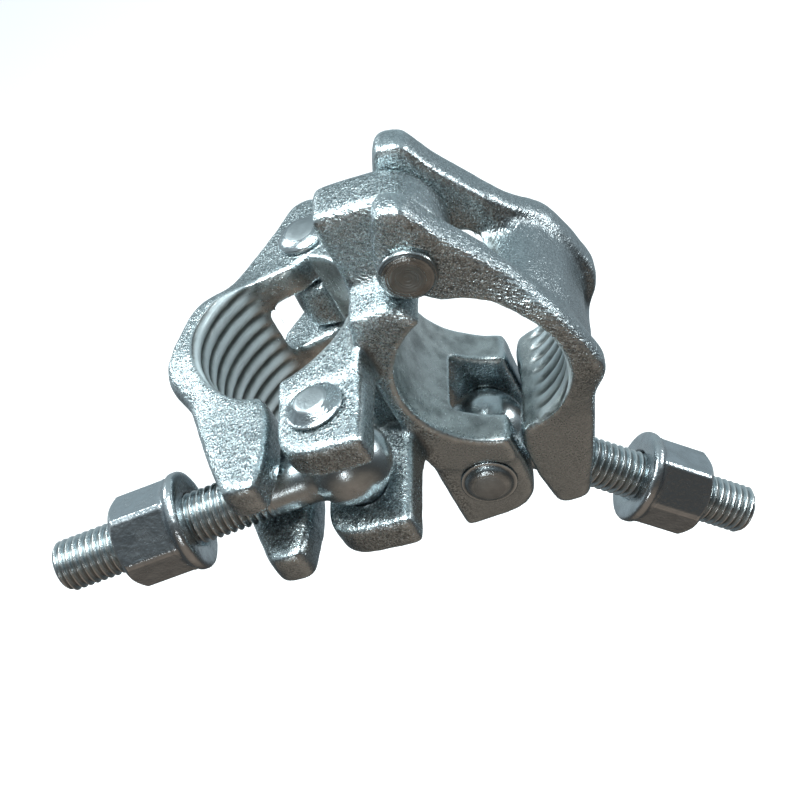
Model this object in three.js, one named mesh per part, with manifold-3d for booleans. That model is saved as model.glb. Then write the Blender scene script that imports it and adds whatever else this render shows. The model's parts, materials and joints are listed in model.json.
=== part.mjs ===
// Right-angle scaffold coupler: two hinged clamps forged back to back on one body.
// Units are millimetres and +Z is up. The origin is on the axis of the upright tube that the
// left clamp grips, at the clamp's middle. +X runs from the left clamp to the right one, and
// +Y runs along the tube that the right clamp grips.
//
// Each clamp is drawn in its own section plane: x = across the tube towards the bolt,
// y = away from the body, z = along the tube. clampGroup() then places it in the frame.

import * as THREE from "three";
import { mergeVertices } from "three/addons/utils/BufferGeometryUtils.js";
import Module from "manifold-3d";

const wasm = await Module();
wasm.setup();

// ---- Driving dimensions -------------------------------------------------------------------

const BORE_R = 24.4;                    // grips a 48.3 mm scaffold tube
const AXIS_TO_WEB = 27.1;               // tube axis to the body's middle plane
const HEEL = -AXIS_TO_WEB - 0.6;        // back of the ears and of the lug
const GAP = 0.35;                       // running gap between pieces that touch

const SADDLE_HALF = 21.5;               // half of the saddle's length along the tube
const PIVOT = { x: 37.8, y: -15.2 };    // bolt pivot
const EAR_IN = 10.2;                    // bolt ears: inner and outer faces
const EAR_OUT = 20.4;
const HINGE = { x: -36.2, y: -7.4 };    // flap hinge
const LUG_HALF = 7.6;
const FORK_START = 17.3;                // where the bolt's slot begins in the saddle

const HINGE_EAR_R = 10.3;               // reach of those ears on the tube's side of the pin
const HINGE_EAR_OUT = 18;               // outer faces of the flap's hinge ears
const FLAP_HALF = 23.5;                 // half of the flap's width over the tube
const RIB_WIDTH = 8.5;                  // raised rib along each side of the flap
const PRONG_IN = 7.8;                   // half the slot that takes the bolt
const PRONG_OUT = 18.8;

const RIVET_R = 5.6;
const RIVET_HEAD_R = 7.8;
const RIVET_HEAD_HEIGHT = 2.6;
const BOLT_R = 7;                       // M14 bolt, over the thread
const BOLT_LENGTH = 83;                 // pivot to free end
const EYE_R = 11.2;
const NUT_FLAT = 11;                    // half the width across the hexagon's flats
const NUT_HEIGHT = 15.5;                // hexagon only
const FLANGE_R = 13.2;
const FLANGE_HEIGHT = 4.6;
const ROUND = 40;                       // segments of a full turn on small round pieces

const degrees = THREE.MathUtils.degToRad;
const SIDES = {
  left: { flapTurn: degrees(2), boltSwing: degrees(5), nutSeat: 43.5, nutTurn: degrees(-18) },
  right: { flapTurn: 0, boltSwing: degrees(47), nutSeat: 46, nutTurn: degrees(-11) },
};

// ---- Solids -------------------------------------------------------------------------------

function toSolid(geometry, matrix = new THREE.Matrix4()) {
  const bare = geometry.clone().applyMatrix4(matrix);
  bare.deleteAttribute("normal");
  bare.deleteAttribute("uv");
  const merged = mergeVertices(bare, 1e-4);
  const mesh = new wasm.Mesh({
    numProp: 3,
    vertProperties: new Float32Array(merged.attributes.position.array),
    triVerts: new Uint32Array(merged.index.array),
  });
  mesh.merge();
  return new wasm.Manifold(mesh);
}

function toGeometry(solid) {
  const { vertProperties, triVerts } = solid.getMesh();
  const geometry = new THREE.BufferGeometry();
  geometry.setAttribute("position", new THREE.BufferAttribute(vertProperties, 3));
  geometry.setIndex(new THREE.BufferAttribute(triVerts, 1));
  geometry.computeVertexNormals();
  return geometry;
}

const join = (first, ...others) => others.reduce((sum, next) => sum.add(next), first);
const cut = (first, ...others) => others.reduce((rest, next) => rest.subtract(next), first);

// A straight-sided slab of the section shape, from z = from to z = to.
function slab(shape, from, to) {
  const geometry = new THREE.ExtrudeGeometry(shape, {
    depth: to - from,
    bevelEnabled: false,
    curveSegments: 6,
  });
  return toSolid(geometry, new THREE.Matrix4().makeTranslation(0, 0, from));
}

// The slab and its mirror image on the other side of z = 0.
const pair = (shape, from, to) => join(slab(shape, from, to), slab(shape, -to, -from));

// A closed outline through the corners; a corner's third number is its rounding radius.
function outline(corners) {
  const shape = new THREE.Shape();
  const count = corners.length;
  corners.forEach(([x, y, radius = 0], index) => {
    const here = new THREE.Vector2(x, y);
    const [beforeX, beforeY] = corners[(index + count - 1) % count];
    const [afterX, afterY] = corners[(index + 1) % count];
    const before = new THREE.Vector2(beforeX, beforeY).sub(here);
    const after = new THREE.Vector2(afterX, afterY).sub(here);
    const back = radius / Math.tan(before.angleTo(after) / 2);
    const start = here.clone().addScaledVector(before.normalize(), back);
    const end = here.clone().addScaledVector(after.normalize(), back);
    if (index === 0) shape.moveTo(start.x, start.y);
    else shape.lineTo(start.x, start.y);
    if (radius > 0) shape.quadraticCurveTo(x, y, end.x, end.y);
  });
  shape.closePath();
  return shape;
}

// A cylinder along z through (x, y), from z = -half to z = half.
function rod(radius, half, centre = { x: 0, y: 0 }, segments = 40) {
  const geometry = new THREE.CylinderGeometry(radius, radius, 2 * half, segments);
  const matrix = new THREE.Matrix4().makeTranslation(centre.x, centre.y, 0);
  return toSolid(geometry, matrix.multiply(new THREE.Matrix4().makeRotationX(Math.PI / 2)));
}

// A profile of [radius, height] points turned about the y axis.
function turned(profile, segments = 40) {
  const points = profile.map(([radius, height]) => new THREE.Vector2(radius, height));
  return toSolid(new THREE.LatheGeometry(points, segments));
}

// ---- Placing a clamp ----------------------------------------------------------------------

const placements = {
  left: new THREE.Matrix4().makeBasis(
    new THREE.Vector3(0, -1, 0), new THREE.Vector3(-1, 0, 0), new THREE.Vector3(0, 0, -1)),
  right: new THREE.Matrix4().makeBasis(
    new THREE.Vector3(0, 0, -1), new THREE.Vector3(1, 0, 0), new THREE.Vector3(0, -1, 0),
  ).setPosition(2 * AXIS_TO_WEB, 0, 0),
};

const transformed = (solid, matrix) => solid.transform(matrix.elements);

// ---- Body ---------------------------------------------------------------------------------

// One clamp's half of the body: saddle, hinge lug and the fork that holds the bolt.
function bodyHalf() {
  const saddle = outline([
    [-29.5, HEEL, 2], [-30, -13, 4], [-22, -10, 2], [20, -4.2, 2], [32, -4.2, 3], [33, -14, 3],
    [27, HEEL, 3], [0, HEEL - 1.5, 40],
  ]);
  const ear = outline([
    [22, HEEL, 1], [53.4, HEEL, 0.8], [52, -4.2, 12], [29, -4.2, 3], [20, -14, 3],
  ]);
  const lug = outline([
    [-22, HEEL, 1], [-52.5, HEEL, 0.8], [-51.5, -1.5, 15], [-36, 3, 8], [-26.5, 1.5, 5],
    [-25.5, -9, 3], [-20, -16, 3],
  ]);
  const hingeRelief = rod(HINGE_EAR_R + 0.8, 60, HINGE);
  const headRelief = rod(RIVET_HEAD_R + 0.8, 60, PIVOT);
  const fork = outline([[FORK_START, HEEL - 6], [70, HEEL - 6], [70, 20], [FORK_START, 20]]);
  return cut(
    join(
      cut(slab(saddle, -SADDLE_HALF, SADDLE_HALF), hingeRelief, headRelief),
      pair(ear, EAR_IN, EAR_OUT),
      slab(lug, -LUG_HALF, LUG_HALF),
    ),
    rod(BORE_R, 60, undefined, 72),
    slab(fork, -EAR_IN, EAR_IN),
    rod(RIVET_R + GAP, 60, PIVOT),
    rod(RIVET_R + GAP, 60, HINGE),
  );
}

function body() {
  const half = bodyHalf();
  return join(transformed(half, placements.left), transformed(half, placements.right));
}

// ---- Flap ---------------------------------------------------------------------------------

// Where the flap's bore sits when it has dropped shut on no tube: turned in about the hinge.
const SHUT = degrees(-8.5);

function flapBore() {
  const centre = new THREE.Vector2(-HINGE.x, -HINGE.y).rotateAround(new THREE.Vector2(), SHUT);
  return { x: centre.x + HINGE.x, y: centre.y + HINGE.y };
}

// Half-width of the flap along its length: narrow ears, full width over the tube, narrow prongs.
function flapHalfWidth(x) {
  const { smoothstep } = THREE.MathUtils;
  const swell = smoothstep(x, -27, -12) * (1 - smoothstep(x, 2, 28));
  const ends = x < 0 ? HINGE_EAR_OUT : PRONG_OUT;
  return ends + (FLAP_HALF - ends) * swell;
}

// A slab whose side faces follow the flap's half-width; "inset" leaves off that much per side.
function flapSlab(shape, inset) {
  const wide = new THREE.Shape();
  const steps = 48;
  const [from, to] = [-62, 70];
  const at = (index) => from + (to - from) * index / steps;
  for (let index = 0; index <= steps; index += 1) {
    const point = [at(index), flapHalfWidth(at(index)) - inset];
    if (index === 0) wide.moveTo(...point);
    else wide.lineTo(...point);
  }
  for (let index = steps; index >= 0; index -= 1) {
    wide.lineTo(at(index), inset - flapHalfWidth(at(index)));
  }
  wide.closePath();
  const plan = new THREE.ExtrudeGeometry(wide, { depth: 120, bevelEnabled: false });
  const upright = new THREE.Matrix4().makeRotationX(Math.PI / 2).setPosition(0, 60, 0);
  return slab(shape, -40, 40).intersect(toSolid(plan, upright));
}

function flap() {
  const side = outline([
    [-56, -9, 4], [-54, -1.5, 4], [-43, 3.5, 6], [-26, 14.5, 10], [-12, 23, 8], [0, 26.5, 6],
    [8, 28, 3], [13, 27, 3], [20, 21.5, 3], [40, 14.5, 8], [57, 7.5, 4], [57, -2, 3],
    [44, -3.4, 6], [33, -3.4, 1.5], [20, 0], [-20, 0, 2], [-27, -8, 5], [-29.3, -15, 5],
    [-40, -15.3, 6],
  ]);
  const recess = outline([
    [-30, 9], [-24, 11.8, 3], [-14, 19.6, 10], [-5, 23.6, 12], [8, 24.4, 10], [18, 20.5, 4],
    [24, 60], [-30, 60],
  ]);
  const prongGap = outline([[26, -30], [70, -30], [70, 60], [26, 60]]);
  const hingeGap = outline([
    [-70, -30], [-24, -30], [-22.5, 2], [-17.5, 18], [-15, 60], [-70, 60],
  ]);
  return cut(
    flapSlab(side, 0),
    flapSlab(recess, RIB_WIDTH),
    rod(BORE_R, 60, flapBore(), 72),
    slab(prongGap, -PRONG_IN, PRONG_IN),
    slab(hingeGap, -LUG_HALF - GAP, LUG_HALF + GAP),
    rod(RIVET_R + GAP, 60, HINGE),
  );
}

// ---- Bolt, nut and rivets -----------------------------------------------------------------

// Eye bolt along +y with the centre of its eye at the origin.
function bolt() {
  const eye = toSolid(new THREE.SphereGeometry(EYE_R, ROUND, ROUND / 2));
  const barrel = rod(EYE_R - 0.2, EAR_IN - GAP, undefined, ROUND);
  const shank = turned([
    [0, 0], [BOLT_R, 0], [BOLT_R, BOLT_LENGTH - 1.2], [BOLT_R - 1.2, BOLT_LENGTH], [0, BOLT_LENGTH],
  ], ROUND);
  const cheeks = rod(BOLT_LENGTH + 10, EAR_IN - GAP, undefined, ROUND);
  return cut(join(eye, barrel, shank).intersect(cheeks), rod(RIVET_R + GAP, 60));
}

// Hexagon nut with its flange in one piece, seat at y = 0, hexagon outwards.
function nut() {
  const flange = turned([
    [0, 0], [FLANGE_R - 0.8, 0], [FLANGE_R, 0.8], [FLANGE_R, FLANGE_HEIGHT - 1],
    [FLANGE_R - 1, FLANGE_HEIGHT], [0, FLANGE_HEIGHT],
  ], ROUND);
  const corner = NUT_FLAT / Math.cos(Math.PI / 6);
  const top = FLANGE_HEIGHT + NUT_HEIGHT;
  const hexagon = toSolid(
    new THREE.CylinderGeometry(corner, corner, top, 6),
    new THREE.Matrix4().makeTranslation(0, top / 2, 0),
  );
  const chamfer = turned([
    [0, 0], [corner + 1, 0], [corner + 1, top - 2.2], [NUT_FLAT - 0.3, top], [0, top],
  ], ROUND);
  const holeR = BOLT_R + GAP;
  const hole = turned([[0, -1], [holeR, -1], [holeR, top + 1], [0, top + 1]], ROUND);
  return cut(join(flange, hexagon.intersect(chamfer)), hole);
}

// A rivet along z whose heads sit on faces at z = +/-face.
function rivet(face) {
  const inner = face + GAP;
  const outer = inner + RIVET_HEAD_HEIGHT;
  const half = [
    [RIVET_R, 0], [RIVET_R, inner], [RIVET_HEAD_R, inner], [RIVET_HEAD_R, inner + 0.9],
    [RIVET_HEAD_R - 3, outer], [0, outer],
  ];
  const mirrored = half.map(([radius, height]) => [radius, -height]).reverse();
  const lying = new THREE.Matrix4().makeRotationX(Math.PI / 2);
  return transformed(turned([...mirrored.slice(0, -1), ...half.slice(1)], ROUND), lying);
}

// ---- Materials and assembly ---------------------------------------------------------------

const finishes = {
  forging: { color: 0x9aa3a4, roughness: 0.45, metalness: 0.9 },
  bolt: { color: 0xb9c0c0, roughness: 0.3, metalness: 0.95 },
  nut: { color: 0xb2b9ba, roughness: 0.32, metalness: 0.95 },
  rivet: { color: 0x8d9598, roughness: 0.4, metalness: 0.9 },
};

function named(name, solid, finish) {
  const material = new THREE.MeshStandardMaterial(finishes[finish]);
  const mesh = new THREE.Mesh(toGeometry(solid), material);
  mesh.name = name;
  return mesh;
}

function pivotGroup(centre, angle, ...meshes) {
  const group = new THREE.Group();
  group.position.set(centre.x, centre.y, 0);
  group.rotation.z = angle;
  group.add(...meshes);
  return group;
}

function clampGroup(side) {
  const { flapTurn, boltSwing, nutSeat, nutTurn } = SIDES[side];
  const aboutHinge = new THREE.Matrix4().makeTranslation(-HINGE.x, -HINGE.y, 0);
  const nutMesh = named(`${side}_nut`, nut(), "nut");
  nutMesh.position.y = nutSeat;
  nutMesh.rotation.y = nutTurn;
  const boltRivet = named(`${side}_bolt_rivet`, rivet(EAR_OUT), "rivet");
  boltRivet.position.set(PIVOT.x, PIVOT.y, 0);
  const flapRivet = named(`${side}_flap_rivet`, rivet(HINGE_EAR_OUT), "rivet");
  flapRivet.position.set(HINGE.x, HINGE.y, 0);
  const group = new THREE.Group();
  group.applyMatrix4(placements[side]);
  group.add(
    pivotGroup(HINGE, flapTurn, named(`${side}_flap`, transformed(flap(), aboutHinge), "forging")),
    pivotGroup(PIVOT, -boltSwing, named(`${side}_bolt`, bolt(), "bolt"), nutMesh),
    boltRivet,
    flapRivet,
  );
  return group;
}

const coupler = new THREE.Group();
coupler.add(named("body", body(), "forging"), clampGroup("left"), clampGroup("right"));

export default coupler;
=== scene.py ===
"""Blender look of the right-angle scaffold coupler: rounded, zinc-coated forgings with real
threads, nuts and rivet heads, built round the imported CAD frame. Lengths are in metres."""

import json
import math

import bmesh
import bpy
import numpy as np
from mathutils import Matrix, Vector


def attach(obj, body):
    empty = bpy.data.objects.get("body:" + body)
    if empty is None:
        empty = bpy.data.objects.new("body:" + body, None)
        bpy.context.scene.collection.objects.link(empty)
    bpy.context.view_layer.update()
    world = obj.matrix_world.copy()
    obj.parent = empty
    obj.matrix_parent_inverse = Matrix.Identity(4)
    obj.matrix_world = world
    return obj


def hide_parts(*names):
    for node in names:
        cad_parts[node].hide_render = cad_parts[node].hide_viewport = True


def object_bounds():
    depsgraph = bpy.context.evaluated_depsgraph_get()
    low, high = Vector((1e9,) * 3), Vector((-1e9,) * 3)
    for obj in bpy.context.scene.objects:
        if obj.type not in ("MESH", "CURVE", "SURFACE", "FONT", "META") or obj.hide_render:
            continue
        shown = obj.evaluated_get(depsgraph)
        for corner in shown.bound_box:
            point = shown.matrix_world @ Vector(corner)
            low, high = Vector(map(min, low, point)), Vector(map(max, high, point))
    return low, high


MM = 0.001

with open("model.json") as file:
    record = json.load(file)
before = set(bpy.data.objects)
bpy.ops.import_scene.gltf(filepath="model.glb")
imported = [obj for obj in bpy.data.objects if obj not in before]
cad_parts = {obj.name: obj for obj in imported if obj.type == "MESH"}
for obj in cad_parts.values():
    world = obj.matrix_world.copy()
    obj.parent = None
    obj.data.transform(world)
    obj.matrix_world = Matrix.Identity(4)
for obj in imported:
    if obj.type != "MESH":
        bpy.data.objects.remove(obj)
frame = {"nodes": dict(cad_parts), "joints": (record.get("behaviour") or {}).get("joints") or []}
cad_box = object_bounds()
joints = {joint["name"]: joint for joint in frame["joints"]}


# ---- Camera, floor and light --------------------------------------------------------------

def make_camera():
    """The camera at the photograph's angle: azimuth, elevation and roll, in degrees."""
    azimuth, elevation, roll = (math.radians(angle) for angle in (21.03, 39.19, -30.88))
    back = Vector((math.sin(azimuth) * math.cos(elevation),
                   -math.cos(azimuth) * math.cos(elevation), math.sin(elevation)))
    level = Vector((math.cos(azimuth), math.sin(azimuth), 0))
    upright = back.cross(level)
    right = math.cos(roll) * level + math.sin(roll) * upright
    up = math.cos(roll) * upright - math.sin(roll) * level
    middle = Vector((27.1, 0, 0)) * MM
    data = bpy.data.cameras.new("camera")
    data.lens, data.sensor_width = 81.32, 36
    data.clip_start, data.clip_end = 0.01, 50
    camera = bpy.data.objects.new("camera", data)
    bpy.context.scene.collection.objects.link(camera)
    camera.matrix_world = Matrix((
        (right.x, up.x, back.x, 0), (right.y, up.y, back.y, 0), (right.z, up.z, back.z, 0),
        (0, 0, 0, 1)))
    camera.location = middle + (1.72 * right - 13.9 * up + 481.5 * back) * MM
    bpy.context.scene.camera = camera


def softbox(name, toward, distance, size, power, colour=(1, 1, 1)):
    """A square area light that stands off in the direction `toward` and faces the coupler."""
    data = bpy.data.lights.new(name, "AREA")
    data.size, data.energy, data.color = size, power, colour
    light = bpy.data.objects.new(name, data)
    bpy.context.scene.collection.objects.link(light)
    toward = Vector(toward).normalized()
    light.location = Vector((27.1, 0, 0)) * MM + toward * distance
    light.rotation_mode = "QUATERNION"
    light.rotation_quaternion = toward.to_track_quat("Z", "Y")


def make_world():
    """Pale light from overhead, and a dim warm room low down."""
    world = bpy.data.worlds.new("room")
    bpy.context.scene.world = world
    world.use_nodes = True
    tree = world.node_tree
    tree.nodes.clear()
    coordinates = tree.nodes.new("ShaderNodeTexCoord")
    overhead = tree.nodes.new("ShaderNodeVectorMath")
    overhead.operation = "DOT_PRODUCT"
    overhead.inputs[1].default_value = (0.0, 0.80, 0.60)
    height = tree.nodes.new("ShaderNodeMapRange")
    height.inputs["From Min"].default_value = -1
    height.inputs["From Max"].default_value = 1
    ramp = tree.nodes.new("ShaderNodeValToRGB")
    stops = ((0.0, (0.25, 0.20, 0.165)), (0.11, (0.18, 0.15, 0.125)), (0.25, (0.06, 0.058, 0.056)),
             (0.44, (0.09, 0.10, 0.105)), (0.60, (0.30, 0.345, 0.37)), (0.82, (0.36, 0.43, 0.46)),
             (1.0, (0.37, 0.455, 0.485)))
    while len(ramp.color_ramp.elements) < len(stops):
        ramp.color_ramp.elements.new(0.5)
    for element, (position, colour) in zip(ramp.color_ramp.elements, stops):
        element.position, element.color = position, (*colour, 1)
    background = tree.nodes.new("ShaderNodeBackground")
    background.inputs["Strength"].default_value = 1.0
    output = tree.nodes.new("ShaderNodeOutputWorld")
    link = tree.links.new
    link(coordinates.outputs["Generated"], overhead.inputs[0])
    link(overhead.outputs["Value"], height.inputs["Value"])
    link(height.outputs["Result"], ramp.inputs["Fac"])
    link(ramp.outputs["Color"], background.inputs["Color"])
    link(background.outputs["Background"], output.inputs["Surface"])


def make_floor():
    """A plain pale floor under the coupler, which hangs clear of it on its tube."""
    half, height = 8.0, cad_box[0].z - 300 * MM
    mesh = bpy.data.meshes.new("floor")
    mesh.from_pydata([(-half, -half, height), (half, -half, height), (half, half, height),
                      (-half, half, height)], [], [(0, 1, 2, 3)])
    floor = bpy.data.objects.new("floor", mesh)
    bpy.context.scene.collection.objects.link(floor)
    material = bpy.data.materials.new("floor")
    material.use_nodes = True
    shader = material.node_tree.nodes["Principled BSDF"]
    shader.inputs["Base Color"].default_value = (0.92, 0.92, 0.92, 1)
    shader.inputs["Roughness"].default_value = 0.9
    shader.inputs["Specular IOR Level"].default_value = 0.1
    shader.inputs["Emission Color"].default_value = (1, 1, 1, 1)
    shader.inputs["Emission Strength"].default_value = 0.45
    mesh.materials.append(material)
    floor.visible_glossy = False


# ---- Mesh helpers -------------------------------------------------------------------------

def new_object(name, vertices, faces):
    mesh = bpy.data.meshes.new(name)
    mesh.from_pydata([tuple(v) for v in vertices], [], faces)
    mesh.validate()
    mesh.polygons.foreach_set("use_smooth", [True] * len(mesh.polygons))
    thing = bpy.data.objects.new(name, mesh)
    bpy.context.scene.collection.objects.link(thing)
    return thing


def points(mesh):
    flat = np.empty(len(mesh.vertices) * 3)
    mesh.vertices.foreach_get("co", flat)
    return flat.reshape(-1, 3)


def set_points(mesh, places):
    mesh.vertices.foreach_set("co", places.ravel())
    mesh.update()


def normals(mesh):
    flat = np.empty(len(mesh.vertices) * 3, np.float32)
    mesh.vertex_normals.foreach_get("vector", flat)
    return flat.reshape(-1, 3).astype(float)


def edge_ends(mesh):
    flat = np.empty(len(mesh.edges) * 2, np.int64)
    mesh.edges.foreach_get("vertices", flat)
    return flat.reshape(-1, 2).T


def neighbour_mean(values, ends):
    """The mean of each vertex's neighbours, for one value or several per vertex."""
    a, b = ends
    size = len(values)
    count = np.bincount(a, minlength=size) + np.bincount(b, minlength=size)
    columns = values.reshape(size, -1)
    total = np.stack([np.bincount(a, column[b], size) + np.bincount(b, column[a], size)
                      for column in columns.T], 1)
    return (total / np.maximum(count, 1)[:, None]).reshape(values.shape)


def voxel_skin(name, sources, voxel):
    """One closed skin round the source meshes, as a new object with even small faces."""
    shape = bmesh.new()
    for source in sources:
        shape.from_mesh(source)
    bmesh.ops.remove_doubles(shape, verts=shape.verts, dist=0.002 * MM)
    bmesh.ops.triangulate(shape, faces=shape.faces)
    mesh = bpy.data.meshes.new(name)
    shape.to_mesh(mesh)
    shape.free()
    thing = bpy.data.objects.new(name, mesh)
    bpy.context.scene.collection.objects.link(thing)
    remesh = thing.modifiers.new("skin", "REMESH")
    remesh.mode, remesh.voxel_size, remesh.use_smooth_shade = "VOXEL", voxel, True
    evaluated = thing.evaluated_get(bpy.context.evaluated_depsgraph_get())
    thing.data = bpy.data.meshes.new_from_object(evaluated)
    thing.modifiers.clear()
    bpy.data.meshes.remove(mesh)
    thing.data.name = name
    thing.data.materials.clear()
    thing.data.polygons.foreach_set("use_smooth", [True] * len(thing.data.polygons))
    return thing


def waves(places, seed, count, shortest, longest):
    """A smooth uneven field over the places, about -1 to 1, from seeded plane waves."""
    random = np.random.default_rng(seed)
    field = np.zeros(len(places))
    for _ in range(count):
        direction = random.normal(size=3)
        direction /= np.linalg.norm(direction)
        length = random.uniform(shortest, longest)
        field += np.sin(places @ direction * (2 * math.pi / length) + random.uniform(0, 6.28))
    return field / math.sqrt(count)


def store(mesh, name, values):
    attribute = mesh.attributes.new(name, "FLOAT", "POINT")
    attribute.data.foreach_set("value", np.asarray(values, np.float32))


def mark_edges(thing, sharp=2.2):
    """Stores how the surface turns: "edge" is 1 where it turns out as tightly as a corner of
    `sharp` millimetres, and "hollow" is 1 where it turns in as tightly. The materials paint
    a highlight where the first is 1 and paint shade where the second is 1."""
    mesh = thing.data
    places, facing, (a, b) = points(mesh), normals(mesh), edge_ends(mesh)
    size = len(places)
    span = places[b] - places[a]
    length = np.maximum((span * span).sum(1), 1e-12)
    count = np.bincount(a, minlength=size) + np.bincount(b, minlength=size)
    turn = (np.bincount(a, (span * facing[a]).sum(1) / length, size)
            - np.bincount(b, (span * facing[b]).sum(1) / length, size)) / np.maximum(count, 1)
    for _ in range(3):
        turn = 0.5 * turn + 0.5 * neighbour_mean(turn, (a, b))
    turn *= 4 * sharp * MM
    store(mesh, "edge", np.clip(-turn, 0, 1))
    store(mesh, "hollow", np.clip(turn, 0, 1))


# ---- Clamp sides --------------------------------------------------------------------------

BORE_R = 24.4 * MM
AXIS_TO_WEB = 27.1 * MM


class Side:
    """One clamp's section plane: t across the tube, n away from the body, a along the tube."""

    def __init__(self, name, origin, t, n, a):
        self.name = name
        self.origin = np.array(origin, float)
        self.axes = np.array([t, n, a], float)
        self.hinge = self.local(np.array([joints[f"{name}_flap_hinge"]["pos_m"]]))[0]
        self.pivot = self.local(np.array([joints[f"{name}_bolt_swing"]["pos_m"]]))[0]

    def local(self, places):
        return (places - self.origin) @ self.axes.T

    def world(self, places):
        return places @ self.axes + self.origin


SIDES = (
    Side("left", (0, 0, 0), (0, -1, 0), (-1, 0, 0), (0, 0, -1)),
    Side("right", (2 * AXIS_TO_WEB, 0, 0), (0, 0, -1), (1, 0, 0), (0, -1, 0)),
)


# ---- Forgings -----------------------------------------------------------------------------

FORGING_VOXEL = 0.5 * MM
FLAP_TURN = {"left": math.radians(2 - 8.5), "right": math.radians(-8.5)}
GROOVE_PITCH = 4.6 * MM
GROOVE_DEPTH = 0.75 * MM


def rounded(thing, rounds, where=None):
    """Rounds the edges by smoothing; `where` is each vertex's share of it, from 0 to 1."""
    mesh = thing.data
    places, ends = points(mesh), edge_ends(mesh)
    share = 0.6 if where is None else 0.6 * where[:, None]
    for _ in range(rounds):
        places += share * (neighbour_mean(places, ends) - places)
    set_points(mesh, places)


def step(values, low, high):
    """0 below low, 1 above high and smooth between them; low may be the larger."""
    rise = np.clip((values - low) / (high - low), 0, 1)
    return rise * rise * (3 - 2 * rise)


def soft_edges(thing, side=None):
    """How rounded each part of a forging is: most on flaps and hinge lugs, least on forks, and
    not at all round the rivet holes, which keep their size."""
    places = points(thing.data)
    solid = np.ones(len(places))
    for one in [side] if side else SIDES:
        section = one.local(places)[:, :2]
        for hole in [one.hinge] if side else [one.hinge, one.pivot]:
            away = np.hypot(*(section - hole[:2]).T)
            solid = np.minimum(solid, step(away, 6.3 * MM, 9 * MM))
    if side:
        return solid
    soft = np.full(len(places), 0.12)
    for side in SIDES:
        t = side.local(places)[:, 0]
        lug, fork = step(t, -22 * MM, -28 * MM), 0.45 * step(t, 18 * MM, 26 * MM)
        soft = np.maximum(soft, np.maximum(lug, fork))
    return soft * solid


def uneven(thing, seed, amount):
    """The slightly wavy surface that a drop forging has."""
    mesh = thing.data
    places = points(mesh)
    swell = waves(places, seed, 26, 7 * MM, 26 * MM)
    swell += 0.5 * waves(places, seed + 1, 40, 2.5 * MM, 6 * MM)
    set_points(mesh, places + normals(mesh) * (swell * amount)[:, None])


def from_bore(places, side, turn=0.0):
    """The places seen from the middle of a bore, for a flap turned by `turn` on its hinge."""
    arm = -side.hinge[:2]
    centre = side.hinge[:2] + np.array([arm[0] * math.cos(turn) - arm[1] * math.sin(turn),
                                        arm[0] * math.sin(turn) + arm[1] * math.cos(turn)])
    local = side.local(places)
    out = local[:, :2] - centre
    return local, out, np.hypot(*out.T)


def groove_bore(thing, side):
    """Cuts the gripping grooves round the inside of a flap."""
    mesh = thing.data
    local, out, reach = from_bore(points(mesh), side, FLAP_TURN[side.name])
    wall = np.clip(2.5 - 2.5 * np.abs(reach - BORE_R) / (1.2 * MM), 0, 1)
    around = np.degrees(np.arctan2(out[:, 0], out[:, 1]))
    wall *= np.clip((around + 62) / 10, 0, 1) * np.clip((70 - around) / 10, 0, 1)
    ridge = 0.5 + 0.5 * np.cos(2 * math.pi * local[:, 2] / GROOVE_PITCH)
    push = wall * GROOVE_DEPTH * (ridge ** 1.6)
    local[:, :2] += out / reach[:, None] * push[:, None]
    set_points(mesh, side.world(local))
    # The "groove" mask is 1 on the crests between the grooves; the forging material paints a highlight
    # there.
    store(mesh, "groove", wall * (1 - ridge))


def mark_bores(thing, side=None):
    """Stores "bore", which is 1 on the smooth faces that grip the tubes."""
    places = points(thing.data)
    bore = np.zeros(len(places))
    for one, turn in [(side, FLAP_TURN[side.name])] if side else [(one, 0) for one in SIDES]:
        reach = from_bore(places, one, turn)[2]
        bore = np.maximum(bore, np.clip(2.5 - np.abs(reach - BORE_R) / (0.8 * MM), 0, 1))
    store(thing.data, "bore", bore)


def mark_grain(thing, sides):
    """Stores "grain", which is coarse on the faces across a clamp's tube and finer on its
    barrels, and "hatch", where the right clamp's near faces were filed."""
    places, facing = points(thing.data), normals(thing.data)
    grain = np.full(len(places), 0.5)
    for side in sides:
        t, n, _ = side.local(places).T
        across = np.abs(facing @ side.axes[2])
        near = step(np.hypot(t, n), 62 * MM, 50 * MM)
        grain = np.maximum(grain, near * step(across, 0.5, 0.85))
    hatch = np.zeros(len(places))
    if sides[-1].name == "right":
        t, n, a = sides[-1].local(places).T
        grain *= 1 - 0.75 * step(t, 12 * MM, 20 * MM) * step(n, -26 * MM, -22 * MM)
        filed = step(t, 12 * MM, 2 * MM) * step(n, -26 * MM, -22 * MM) * step(a, 4 * MM, 7 * MM)
        hatch = filed * step(facing @ sides[-1].axes[2], -0.4, 0.3)
    store(thing.data, "grain", grain)
    store(thing.data, "hatch", hatch)


def make_forging(node, seed, rounds, side=None):
    """The look of one forging: the CAD solid with its edges rounded and its surface uneven."""
    thing = voxel_skin(node + "_forging", [frame["nodes"][node].data], FORGING_VOXEL)
    rounded(thing, 5)
    rounded(thing, rounds, soft_edges(thing, side))
    uneven(thing, seed, 0.06 * MM)
    if side:
        groove_bore(thing, side)
    else:
        store(thing.data, "groove", np.zeros(len(thing.data.vertices)))
    mark_edges(thing)
    mark_bores(thing, side)
    mark_grain(thing, [side] if side else SIDES)
    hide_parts(node)
    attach(thing, node)
    return thing


# ---- Turned pieces ------------------------------------------------------------------------

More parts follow.
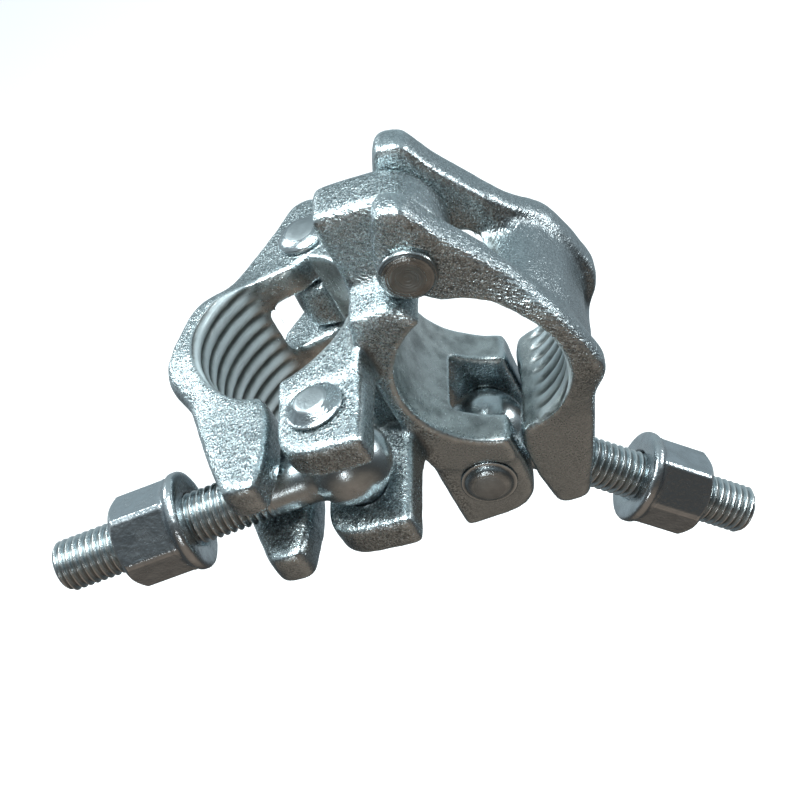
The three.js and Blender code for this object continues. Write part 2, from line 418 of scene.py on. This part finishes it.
def turned(name, rings, segments, capped=True):
    """A skin through rings of (height, radius), where a radius may be a list, one per segment."""
    angles = np.linspace(0, 2 * math.pi, segments, endpoint=False)
    vertices = []
    for height, radius in rings:
        radius = np.broadcast_to(radius, segments)
        vertices.append(np.stack([radius * np.sin(angles), np.full(segments, height),
                                  radius * np.cos(angles)], 1))
    faces = []
    for ring in range(len(rings) - 1):
        for segment in range(segments):
            after = (segment + 1) % segments
            here, there = ring * segments, (ring + 1) * segments
            faces.append((here + segment, here + after, there + after, there + segment))
    if capped:
        last = segments * (len(rings) - 1)
        faces += [tuple(reversed(range(segments))), tuple(range(last, last + segments))]
    return new_object(name, np.concatenate(vertices), faces)


def along(thing, origin, y_axis, z_axis):
    """Moves a mesh drawn about its own y axis to the place that the frame gives."""
    y_axis = np.array(y_axis, float)
    z_axis = np.array(z_axis, float)
    basis = np.array([np.cross(y_axis, z_axis), y_axis, z_axis])
    set_points(thing.data, points(thing.data) @ basis + np.array(origin))


def extent(node, origin, axis):
    """How far a node reaches along an axis from the origin, lowest and highest."""
    reach = (points(frame["nodes"][node].data) - np.array(origin)) @ np.array(axis)
    return reach.min(), reach.max()


PITCH = 2.0 * MM
BOLT_R = 6.95 * MM
THREAD_DEPTH = 1.15 * MM
EYE_R = 11.2 * MM
CHEEK = 9.85 * MM
EYE_HOLE = 5.95 * MM


def make_bolt(side):
    """An eye bolt with a cut thread, and an eye that has flat cheeks and a hole."""
    node = f"{side.name}_bolt"
    pivot = joints[f"{side.name}_bolt_swing"]["pos_m"]
    axis = joints[f"{side.name}_nut_travel"]["axis"]
    swing = joints[f"{side.name}_bolt_swing"]["axis"]
    _, end = extent(node, pivot, axis)
    segments = 72
    angles = np.linspace(0, 1, segments, endpoint=False)
    start = 21 * MM
    heights = np.arange(start, end - 0.02 * MM, PITCH / 14)
    rings = []
    for height in heights:
        phase = (height / PITCH + angles) % 1
        flank = np.clip((np.abs(2 * phase - 1) - 0.14) / 0.74, 0, 1)
        fade = min(1, (height - start) / (5 * MM))
        radius = BOLT_R - THREAD_DEPTH * fade * (1 - flank)
        point = BOLT_R + 0.1 * MM - max(0, height - end + 1.6 * MM) * 0.95
        rings.append((height, np.minimum(radius, point)))
    last = rings[-1][1]
    rings += [(end, last - 0.25 * MM), (end + 0.02 * MM, last * 0.8), (end - 0.1 * MM, last * 0.35),
              (end - 0.1 * MM, 0.3 * MM)]
    thread = turned(node + "_thread", rings, segments)

    cheeks = np.linspace(-CHEEK, CHEEK, 49)
    ball = turned("ball", [(-CHEEK, EYE_HOLE), *((z, math.sqrt(EYE_R ** 2 - z ** 2)) for z in cheeks),
                           (CHEEK, EYE_HOLE), (-CHEEK, EYE_HOLE)], 128, capped=False)
    set_points(ball.data, points(ball.data)[:, [0, 2, 1]])
    neck = turned("neck", [(7 * MM, 0.3 * MM), (7 * MM, 7.6 * MM), (8 * MM, 7.6 * MM),
                           (11 * MM, 7.0 * MM), (start + 1.5 * MM, 6.85 * MM),
                           (start + 1.5 * MM, 0.3 * MM)], 96)
    eye = voxel_skin(node + "_eye", [ball.data, neck.data], 0.32 * MM)
    bpy.data.objects.remove(neck)
    bpy.data.objects.remove(ball)
    rounded(eye, 12)
    for part in (eye, thread):
        along(part, pivot, axis, swing)
        mark_edges(part, 0.7)
    with bpy.context.temp_override(active_object=eye, selected_editable_objects=[eye, thread]):
        bpy.ops.object.join()
    eye.name = node + "_threaded"
    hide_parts(node)
    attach(eye, node)
    return eye


NUT_FLAT = 11 * MM
FLANGE_R = 13.2 * MM
FLANGE_HEIGHT = 4.2 * MM


def make_nut(side):
    """A flange nut, turned the same way as the CAD nut and chamfered at its free end."""
    node = f"{side.name}_nut"
    pivot = joints[f"{side.name}_bolt_swing"]["pos_m"]
    axis = joints[f"{side.name}_nut_travel"]["axis"]
    swing = joints[f"{side.name}_bolt_swing"]["axis"]
    seat, end = extent(node, pivot, axis)
    height = end - seat
    places = points(frame["nodes"][node].data) - np.array(pivot)
    rise = places @ np.array(axis)
    across = places - rise[:, None] * np.array(axis)
    above_flange = rise > seat + FLANGE_HEIGHT + 2 * MM
    corners = across[above_flange & (np.linalg.norm(across, axis=1) > NUT_FLAT * 1.14)]
    x_axis = np.cross(np.array(axis), np.array(swing))
    corner = math.atan2(corners[0] @ x_axis, corners[0] @ np.array(swing))
    segments = 216
    angles = np.linspace(0, 2 * math.pi, segments, endpoint=False) - corner
    folded = (angles + math.pi / 6) % (math.pi / 3) - math.pi / 6
    hexagon = NUT_FLAT / np.cos(math.pi / 6 - np.abs(folded))
    hexagon = np.minimum(hexagon, NUT_FLAT / math.cos(math.pi / 6) - 0.35 * MM)
    hole = BOLT_R - 0.6 * MM

    rings = [(height * 0.5, hole), (1.4 * MM, hole), (0.1 * MM, hole + 1.3 * MM),
             (0, hole + 1.5 * MM), (0, FLANGE_R - 1.6 * MM), (0.15 * MM, FLANGE_R - 0.9 * MM),
             (0.5 * MM, FLANGE_R - 0.3 * MM), (1.1 * MM, FLANGE_R), (2.2 * MM, FLANGE_R),
             (2.7 * MM, FLANGE_R - 0.15 * MM), (3.0 * MM, FLANGE_R - 0.4 * MM)]
    slope = np.maximum(hexagon, FLANGE_R - 0.9 * MM)
    rings += [(3.6 * MM, np.maximum(hexagon, slope - 0.1 * MM)),
              (FLANGE_HEIGHT, np.maximum(hexagon, FLANGE_R - 1.6 * MM)),
              (FLANGE_HEIGHT + 0.5 * MM, hexagon + 0.15 * MM), (FLANGE_HEIGHT + 1 * MM, hexagon)]
    chamfer = height - 3.2 * MM
    rings += [(level, hexagon) for level in np.linspace(FLANGE_HEIGHT + 1.6 * MM, chamfer, 14)]
    for part in range(1, 13):
        level = chamfer + (height - chamfer - 0.2 * MM) * part / 12
        cone = NUT_FLAT - 0.3 * MM + (height - level) * 1.05
        rings.append((level, np.minimum(hexagon, cone)))
    rings += [(height, NUT_FLAT - 0.8 * MM), (height, hole + 1.3 * MM),
              (height - 0.1 * MM, hole + 1.1 * MM), (height - 1.3 * MM, hole), (height * 0.5, hole)]
    nut = turned(node + "_flanged", rings, segments, capped=False)
    along(nut, np.array(pivot) + seat * np.array(axis), axis, swing)
    mark_edges(nut, 0.7)
    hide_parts(node)
    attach(nut, node)
    return nut


def make_rivet(side, kind, joint, front, back):
    """A rivet with its own head profile at each end; +axis end first."""
    node = f"{side.name}_{kind}_rivet"
    origin, axis = joints[joint]["pos_m"], np.array(joints[joint]["axis"])
    low, high = extent(node, origin, axis)
    rings = [(low - h * MM, r * MM) for h, r in back]
    rings += [(high + h * MM, r * MM) for h, r in reversed(front)]
    rivet = turned(node + "_head", rings, 96)
    side_axis = np.array([0.0, 0.0, 1.0]) if abs(axis[2]) < 0.5 else np.array([1.0, 0.0, 0.0])
    reach = np.hypot(*points(rivet.data)[:, ::2].T)
    along(rivet, origin, axis, side_axis)
    rounded(rivet, 1)
    store(rivet.data, "reach", reach / MM)
    mark_edges(rivet, 0.7)
    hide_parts(node)
    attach(rivet, "body")
    return rivet


# Head profiles as (height past the CAD head, radius) in millimetres, from the middle outwards.
PLAIN_HEAD = ((0.0, 0.5), (0.0, 2.0), (-0.15, 4.0), (-0.7, 6.0), (-1.5, 7.2), (-2.3, 7.7), (-2.55, 7.7),
              (-2.6, 5.7), (-6.0, 5.6))
CONE_HEAD = ((0.7, 0.5), (0.7, 3.7), (0.6, 4.1), (0.3, 4.5), (-1.45, 6.6), (-1.6, 6.8), (-1.75, 7.0),
             (-1.8, 7.6), (-2.1, 7.85), (-2.55, 7.8), (-2.6, 5.7), (-6.0, 5.6))
RINGED_HEAD = ((-0.5, 0.5), (-0.5, 1.2), (-0.35, 1.6), (-0.35, 3.4), (-0.2, 3.9), (-0.15, 5.4),
               (-0.4, 6.3), (-1.0, 7.2), (-2.0, 7.75), (-2.55, 7.8), (-2.6, 5.7), (-6.0, 5.6))
DOME_HEAD = ((0.0, 0.5), (-0.05, 1.5), (-0.2, 3.0), (-0.5, 4.4), (-1.0, 5.6), (-1.6, 6.3), (-2.2, 6.5),
             (-2.5, 6.9), (-2.3, 7.4), (-2.5, 7.8), (-2.55, 7.8), (-2.6, 5.7), (-6.0, 5.6))


# ---- Materials ----------------------------------------------------------------------------

class Paint:
    """A node material built step by step. Noise sizes are in millimetres on the surface."""

    def __init__(self, name):
        self.material = bpy.data.materials.new(name)
        self.material.use_nodes = True
        self.tree = self.material.node_tree
        self.shader = self.tree.nodes["Principled BSDF"]
        self.place = self.tree.nodes.new("ShaderNodeTexCoord").outputs["Object"]
        self.bump = None

    def set(self, **values):
        for name, value in values.items():
            self.shader.inputs[name.replace("_", " ")].default_value = value

    def node(self, kind, **settings):
        made = self.tree.nodes.new(kind)
        for name, value in settings.items():
            setattr(made, name, value)
        return made

    def link(self, source, target):
        self.tree.links.new(source, target)

    def noise(self, size, detail=2, stretch=None, turn=(0, 0, 0)):
        mapping = self.node("ShaderNodeMapping")
        grain = 1 / (size * MM)
        scale = stretch or (1, 1, 1)
        mapping.inputs["Scale"].default_value = [grain / part for part in scale]
        if any(turn):
            first = self.node("ShaderNodeMapping")
            first.inputs["Rotation"].default_value = [math.radians(angle) for angle in turn]
            self.link(self.place, first.inputs["Vector"])
            self.link(first.outputs["Vector"], mapping.inputs["Vector"])
        else:
            self.link(self.place, mapping.inputs["Vector"])
        noise = self.node("ShaderNodeTexNoise")
        noise.inputs["Scale"].default_value = 1
        noise.inputs["Detail"].default_value = detail
        self.link(mapping.outputs["Vector"], noise.inputs["Vector"])
        return noise.outputs["Fac"]

    def value(self, name):
        return self.node("ShaderNodeAttribute", attribute_name=name).outputs["Fac"]

    def fit(self, source, low, high, to_low=0, to_high=1):
        fit = self.node("ShaderNodeMapRange")
        for name, number in (("From Min", low), ("From Max", high),
                             ("To Min", to_low), ("To Max", to_high)):
            fit.inputs[name].default_value = number
        self.link(source, fit.inputs["Value"])
        return fit.outputs["Result"]

    def math(self, operation, first, second, clamp=False):
        made = self.node("ShaderNodeMath", operation=operation, use_clamp=clamp)
        for slot, item in zip(made.inputs, (first, second)):
            if isinstance(item, (int, float)):
                slot.default_value = item
            else:
                self.link(item, slot)
        return made.outputs["Value"]

    def mix(self, amount, first, second):
        made = self.node("ShaderNodeMix", data_type="RGBA")
        sockets = [socket for socket in made.inputs if socket.type == "RGBA"]
        self.link(amount, made.inputs[0])
        for slot, item in zip(sockets, (first, second)):
            if isinstance(item, tuple):
                slot.default_value = (*item, 1)
            else:
                self.link(item, slot)
        return next(socket for socket in made.outputs if socket.type == "RGBA")

    def raise_by(self, height, depth, strength=1.0):
        """Adds relief; depth is in millimetres."""
        bump = self.node("ShaderNodeBump")
        bump.inputs["Distance"].default_value = depth * MM
        if isinstance(strength, (int, float)):
            bump.inputs["Strength"].default_value = strength
        else:
            self.link(strength, bump.inputs["Strength"])
        self.link(height, bump.inputs["Height"])
        if self.bump:
            self.link(self.bump, bump.inputs["Normal"])
        self.bump = bump.outputs["Normal"]
        self.link(self.bump, self.shader.inputs["Normal"])

    def colour(self, source):
        self.link(source, self.shader.inputs["Base Color"])

    def roughness(self, source):
        self.link(source, self.shader.inputs["Roughness"])


def forged_zinc():
    """Zinc-coated forging: sparkling grain, file marks in patches, painted highlights on edges
    and groove crests, and painted shade in hollows.
    """
    paint = Paint("forged_zinc")
    paint.set(Metallic=1.0)
    edge, hollow = paint.value("edge"), paint.value("hollow")
    bore, share, groove = paint.value("bore"), paint.value("grain"), paint.value("groove")
    grain = paint.noise(0.42, 2)
    coarse = paint.noise(0.9, 1)
    lumps = paint.noise(2.4, 2)
    stains = paint.noise(5, 3)
    patches = paint.noise(14, 2)
    marks = paint.noise(0.5, 1, stretch=(1, 12, 1), turn=(20, 35, 30))
    cross = paint.noise(0.5, 1, stretch=(12, 1, 1), turn=(-25, 10, -40))
    strokes = paint.noise(0.55, 1, stretch=(9, 1, 1), turn=(0, -38, 0))
    filed = paint.fit(patches, 0.50, 0.60)
    rasped = paint.fit(patches, 0.44, 0.36)
    coat = paint.mix(paint.fit(grain, 0.38, 0.62), (0.19, 0.215, 0.225), (0.70, 0.80, 0.83))
    base = paint.mix(share, (0.46, 0.53, 0.56), coat)
    worn = paint.mix(paint.fit(stains, 0.35, 0.6), (0.34, 0.36, 0.355), (0.66, 0.70, 0.69))
    base = paint.mix(paint.fit(bore, 0, 1, 0, 0.85), base, worn)
    # Painted highlight: the crests between the bore grooves are painted near white.
    base = paint.mix(paint.fit(groove, 0, 1), base, (0.84, 0.95, 0.99))
    # Painted shade: tight hollows and creases are painted dark.
    base = paint.mix(paint.fit(hollow, 0.2, 1, 0, 0.7), base, (0.17, 0.18, 0.18))
    # Painted highlight: tight outer edges are painted a pale bright colour.
    base = paint.mix(paint.fit(edge, 0.25, 0.9, 0, 0.6), base, (0.84, 0.94, 0.97))
    paint.colour(base)
    paint.link(paint.fit(groove, 0, 1, 1, 0.5), paint.shader.inputs["Metallic"])
    rough = paint.fit(coarse, 0.3, 0.7, 0.33, 0.20)
    rough = paint.math("ADD", rough, paint.fit(bore, 0, 1, 0, 0.04))
    rough = paint.math("ADD", rough, paint.fit(groove, 0, 1, 0, 0.12))
    paint.roughness(paint.math("ADD", rough, paint.fit(hollow, 0.1, 1, 0, 0.15), clamp=True))
    paint.raise_by(lumps, 0.28, paint.fit(share, 0.2, 1, 0.2, 0.8))
    paint.raise_by(strokes, 0.42, paint.value("hatch"))
    paint.raise_by(marks, 0.17, filed)
    paint.raise_by(cross, 0.17, rasped)
    rough_share = paint.math("MULTIPLY", share, paint.fit(bore, 0, 1, 1, 0.25))
    paint.raise_by(coarse, 0.20, rough_share)
    paint.raise_by(grain, 0.20, rough_share)
    return paint.material


def plated(name, tone, mottle=0.02):
    """Bright zinc plate on bolts and nuts, with faint blotches, painted highlights on edges and
    painted shade in hollows.
    """
    paint = Paint(name)
    paint.set(Metallic=1.0)
    edge, hollow = paint.value("edge"), paint.value("hollow")
    fine, blotch = paint.noise(0.35, 3), paint.noise(3.5, 3)
    low = tuple(part * 0.8 for part in tone)
    base = paint.mix(paint.fit(blotch, 0.35, 0.65), low, tone)
    # Painted shade: tight hollows are painted dark.
    base = paint.mix(paint.fit(hollow, 0.2, 1, 0, 0.75), base, (0.16, 0.15, 0.14))
    # Painted highlight: tight edges are painted near white.
    base = paint.mix(paint.fit(edge, 0.2, 1, 0, 0.8), base, (0.92, 0.95, 0.95))
    paint.colour(base)
    rough = paint.fit(blotch, 0.3, 0.7, 0.30, 0.18)
    paint.roughness(paint.math("ADD", rough, paint.fit(hollow, 0.1, 1, 0, 0.15), clamp=True))
    paint.raise_by(blotch, 0.12, 0.35)
    paint.raise_by(paint.noise(1.1, 2), mottle, 1)
    paint.raise_by(fine, 0.05, 0.6)
    return paint.material


def headed(name, tone, turned_marks=0.0):
    """A rivet head: matte in the middle, polished on its slope, with turning rings if asked."""
    paint = Paint(name)
    paint.set(Metallic=1.0)
    edge, hollow, reach = paint.value("edge"), paint.value("hollow"), paint.value("reach")
    fine, blotch = paint.noise(0.45, 2), paint.noise(2.5, 3)
    middle = paint.fit(reach, 4.6, 4.0)
    base = paint.mix(paint.fit(blotch, 0.35, 0.65), tuple(part * 0.7 for part in tone), tone)
    base = paint.mix(paint.fit(middle, 0, 1, 0, 0.6), base, tuple(part * 0.62 for part in tone))
    # Painted shade: tight hollows are painted almost black.
    base = paint.mix(paint.fit(hollow, 0.2, 1, 0, 0.85), base, (0.10, 0.10, 0.10))
    # Painted highlight: tight edges are painted near white.
    base = paint.mix(paint.fit(edge, 0.2, 1, 0, 0.7), base, (0.86, 0.94, 0.97))
    paint.colour(base)
    paint.roughness(paint.fit(middle, 0, 1, 0.20, 0.38))
    if turned_marks:
        turning = paint.math("SINE", paint.math("MULTIPLY", reach, 7.0), 0)
        paint.raise_by(turning, turned_marks, 0.8)
    paint.raise_by(blotch, 0.15, 0.5)
    paint.raise_by(fine, 0.12, 0.8)
    return paint.material


def paint_all(things, material):
    for thing in things:
        thing.data.materials.clear()
        thing.data.materials.append(material)


# ---- Scene --------------------------------------------------------------------------------

bpy.context.scene.view_settings.view_transform = "Standard"
make_camera()
make_world()
make_floor()
softbox("key", (0.05, -0.10, 1), 1.0, 0.5, 14.5, (0.93, 1, 1))
softbox("back", (-0.75, 0.55, 0.75), 1.0, 0.22, 2.6, (0.92, 0.99, 1))
softbox("front", (-0.10, -0.95, 0.20), 1.1, 0.20, 0.7, (0.98, 1, 1))
softbox("corner", (0.95, 0.25, 0.10), 1.1, 0.20, 2.2, (0.98, 1, 1))

left, right = SIDES
body = make_forging("body", 11, 90)
flaps = [make_forging(f"{side.name}_flap", 20 + n, 66, side)
         for n, side in enumerate(SIDES)]
bolts = [make_bolt(side) for side in SIDES]
nuts = [make_nut(side) for side in SIDES]
rivets = [
    make_rivet(left, "bolt", "left_bolt_swing", CONE_HEAD, PLAIN_HEAD),
    make_rivet(left, "flap", "left_flap_hinge", PLAIN_HEAD, PLAIN_HEAD),
    make_rivet(right, "bolt", "right_bolt_swing", PLAIN_HEAD, DOME_HEAD),
    make_rivet(right, "flap", "right_flap_hinge", RINGED_HEAD, PLAIN_HEAD),
]
paint_all([body, *flaps], forged_zinc())
paint_all(bolts, plated("bolt_plate", (0.66, 0.74, 0.77)))
paint_all(nuts, plated("nut_plate", (0.60, 0.66, 0.70), 0.12))
paint_all(rivets[:3], headed("rivet_zinc", (0.60, 0.67, 0.70)))
paint_all(rivets[3:], headed("turned_rivet", (0.42, 0.45, 0.45), 0.035))
